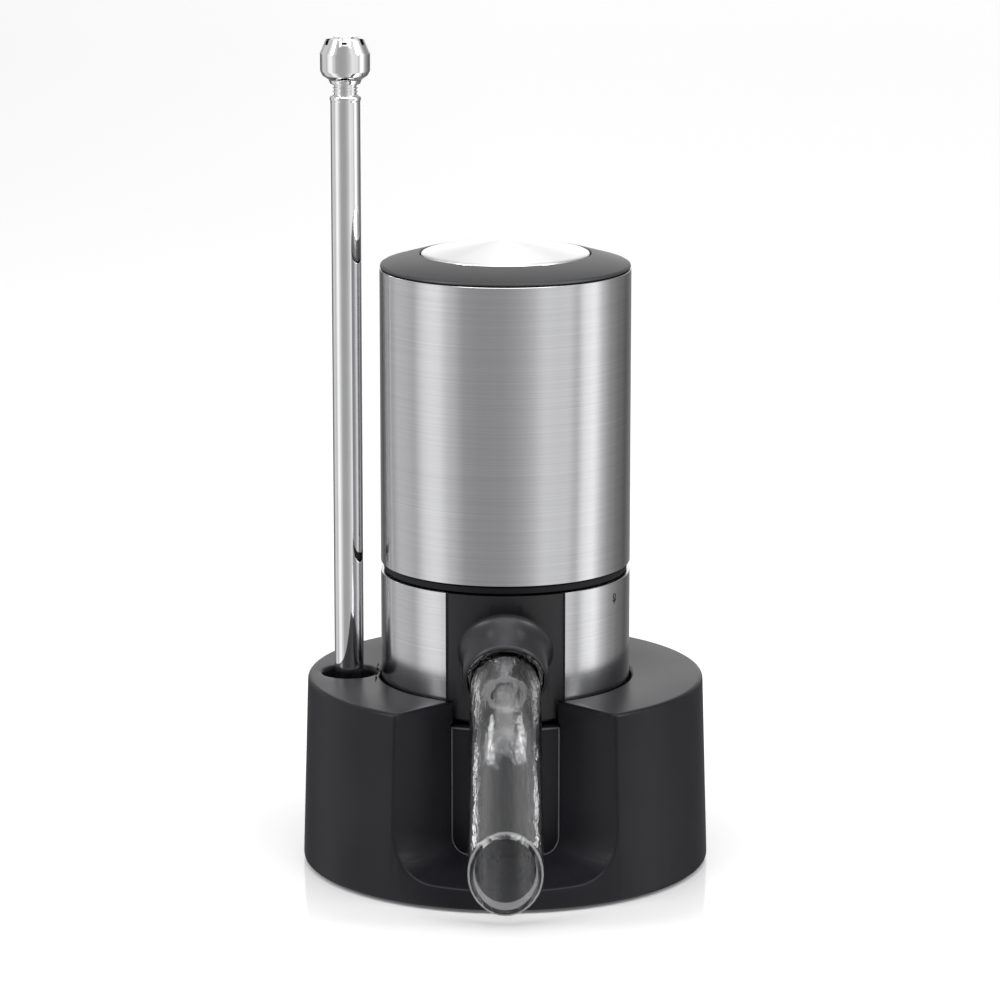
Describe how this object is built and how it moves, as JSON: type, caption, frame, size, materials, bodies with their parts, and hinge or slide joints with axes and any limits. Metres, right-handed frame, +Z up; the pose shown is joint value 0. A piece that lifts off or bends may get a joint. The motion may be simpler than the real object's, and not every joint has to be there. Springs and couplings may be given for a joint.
{
  "type": "electric wine aerator and dispenser",
  "caption": "Battery wine aerating pourer on a drip stand: steel body, push button, clear bent spout, telescopic suction tube stored upright.",
  "frame": {"origin": "centre of the stand's rubber pad, on the surface it stands on", "axes": "+Z up along the body's axis, -Y towards the spout and the person pouring, -X towards the stored suction tube"},
  "size_m": [0.0918, 0.1109, 0.1866],
  "materials": {
    "charcoal": "fine matte charcoal",
    "black": "satin black",
    "grey_plastic": "natural grey",
    "steel": "brushed round the body",
    "polished": "polished",
    "spring": "bright",
    "nickel": "nickel plated",
    "rubber": "matte",
    "silicone": "soft matte",
    "clear": "clear, polished",
    "cell": "shrink wrap",
    "board": "solder mask",
    "ferrite": "sintered",
    "bronze": "sintered",
    "red_lead": "insulation",
    "black_lead": "insulation"
  },
  "bodies": {
    "stand": {"stand_shell": "charcoal", "stand_well": "charcoal", "stand_base_cover": "charcoal", "stand_pad": "rubber", "stand_screw_1": "spring", "stand_screw_2": "spring", "stand_screw_3": "spring", "stand_screw_4": "spring"},
    "dispenser": {"lower_sleeve": "steel", "pump_housing": "black", "bottom_plate": "black", "bayonet_collar": "black", "bottle_stopper": "silicone", "dip_connector": "grey_plastic", "wine_hose": "silicone", "outlet_nipple": "black", "air_port_seal": "silicone", "pump_base": "black", "valve_plate": "grey_plastic", "diaphragm": "silicone", "pump_cage": "black", "motor_can": "polished", "motor_magnet_1": "ferrite", "motor_magnet_2": "ferrite", "motor_bush": "bronze", "motor_end_bell": "black", "battery_carrier": "black", "cell_link_bottom_1": "nickel", "cell_link_bottom_2": "nickel", "cell_link_top": "nickel", "cell_terminal_plus": "nickel", "cell_terminal_minus": "nickel", "switch_board": "board", "switch_body": "black", "lead_red": "red_lead", "lead_black": "black_lead", "battery_1": "cell", "battery_2": "cell", "battery_3": "cell", "battery_4": "cell", "plate_screw_1": "spring", "plate_screw_2": "spring", "plate_screw_3": "spring"},
    "rotor": {"motor_rotor": "spring"},
    "swash": {"wobble_plate": "grey_plastic"},
    "switch_pin": {"switch_plunger": "grey_plastic"},
    "cover": {"upper_sleeve": "steel", "cover_liner": "black", "top_bezel": "black", "button_spring": "spring"},
    "button": {"push_button": "steel"},
    "spout": {"spout": "clear", "aerator_collar": "clear", "spout_seal": "rubber"},
    "tube": {"tube_outer": "polished", "tube_fitting": "silicone"},
    "inner_tube": {"tube_inner": "polished", "tube_tip": "polished"}
  },
  "joints": [
    {"name": "dispenser_lift", "type": "slide", "parent": "stand", "child": "dispenser", "axis": [0, 0, 1], "range_m": [0, 0.055]},
    {"name": "cover_twist", "type": "hinge", "parent": "dispenser", "child": "cover", "pos_m": [0, 0, 0.0693], "axis": [0, 0, 1], "range_deg": [0, 30]},
    {"name": "button_press", "type": "slide", "parent": "cover", "child": "button", "axis": [0, 0, -1], "range_m": [0, 0.0012], "stiffness_N_per_m": 1500, "springref_m": -0.0008, "deforming": ["button_spring"]},
    {"name": "switch_travel", "type": "slide", "parent": "dispenser", "child": "switch_pin", "axis": [0, 0, -1], "range_m": [0, 0.0013]},
    {"name": "motor_spin", "type": "hinge", "parent": "dispenser", "child": "rotor", "pos_m": [0, 0, 0.075], "axis": [0, 0, 1], "continuous": true},
    {"name": "swash_wobble", "type": "hinge", "parent": "rotor", "child": "swash", "pos_m": [0, 0, 0.0575], "axis": [0.0872, 0, 0.9962], "continuous": true},
    {"name": "spout_swivel", "type": "hinge", "parent": "dispenser", "child": "spout", "pos_m": [0, -0.028, 0.0545], "axis": [0, -0.9063, -0.4226], "range_deg": [-20, 20]},
    {"name": "tube_lift", "type": "slide", "parent": "stand", "child": "tube", "axis": [0, 0, 1], "range_m": [0, 0.045]},
    {"name": "tube_extend", "type": "slide", "parent": "tube", "child": "inner_tube", "axis": [0, 0, 1], "range_m": [0, 0.105]}
  ],
  "couplings": [
    {"joint": "switch_travel", "follows": "button_press", "ratio": 1},
    {"joint": "swash_wobble", "follows": "motor_spin", "ratio": -1}
  ]
}
